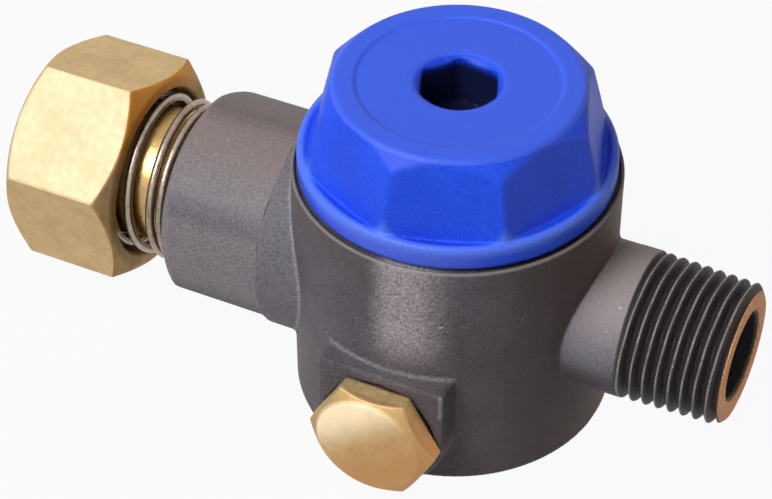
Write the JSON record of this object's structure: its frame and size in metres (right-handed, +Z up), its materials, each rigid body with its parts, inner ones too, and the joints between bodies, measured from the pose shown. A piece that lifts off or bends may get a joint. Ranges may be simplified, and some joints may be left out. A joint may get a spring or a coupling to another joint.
{
  "type": "needle valve",
  "caption": "Round-bodied inline needle valve with a hand-turned octagonal cap, a taper threaded outlet, a sprung brass union nut and a side drain plug.",
  "frame": {"origin": "centre of the flat underside of the body, below the needle", "axes": "+Z up along the needle and the cap's axis, +X along the pipe toward the male taper thread, the drain plug faces -Y"},
  "size_m": [0.1091, 0.0522, 0.0535],
  "materials": {
    "body_iron": "dark satin casting",
    "cap_plastic": "moulded ultramarine plastic",
    "seal_rubber": "black rubber",
    "stainless": "drawn and turned steel",
    "washer_plastic": "pale bearing plastic",
    "brass": "turned brass",
    "fibre": "red fibre"
  },
  "bodies": {
    "housing": {"valve_body": "body_iron", "bonnet": "brass", "bonnet_ring": "seal_rubber", "spindle_ring": "seal_rubber", "thrust_washer": "washer_plastic", "dust_seal": "seal_rubber", "seat": "brass", "seat_ring": "seal_rubber", "union_tail": "brass", "tail_ring": "seal_rubber", "union_gasket": "fibre", "union_spring": "stainless"},
    "cap": {"adjusting_cap": "cap_plastic", "spindle": "stainless"},
    "needle": {"needle_carrier": "brass", "needle_tip": "stainless"},
    "slip": {"slip_washer": "stainless"},
    "nut": {"union_nut": "brass"},
    "plug_seal": {"plug_washer": "fibre"},
    "plug": {"drain_plug": "brass"}
  },
  "joints": [
    {"name": "cap_turn", "type": "hinge", "parent": "housing", "child": "cap", "pos_m": [0, 0, 0.0388], "axis": [0, 0, 1], "range_deg": [0, 1152]},
    {"name": "needle_lift", "type": "slide", "parent": "housing", "child": "needle", "axis": [0, 0, 1], "range_m": [0, 0.004]},
    {"name": "union_slide", "type": "slide", "parent": "housing", "child": "slip", "axis": [1, 0, 0], "range_m": [0, 0.0045], "stiffness_N_per_m": 1500, "springref_m": -0.004, "deforming": ["union_spring"]},
    {"name": "nut_swivel", "type": "hinge", "parent": "slip", "child": "nut", "pos_m": [-0.0523, 0, 0.02], "axis": [1, 0, 0], "continuous": true},
    {"name": "plug_draw", "type": "slide", "parent": "housing", "child": "plug_seal", "axis": [0, -1, 0], "range_m": [0, 0.00802]},
    {"name": "plug_turn", "type": "hinge", "parent": "plug_seal", "child": "plug", "pos_m": [0, -0.0252, 0.0099], "axis": [0, -1, 0], "range_deg": [0, 2160]}
  ],
  "couplings": [
    {"joint": "needle_lift", "follows": "cap_turn", "m_per_rad": 0.00019894},
    {"joint": "plug_draw", "follows": "plug_turn", "m_per_rad": 0.00021279}
  ]
}
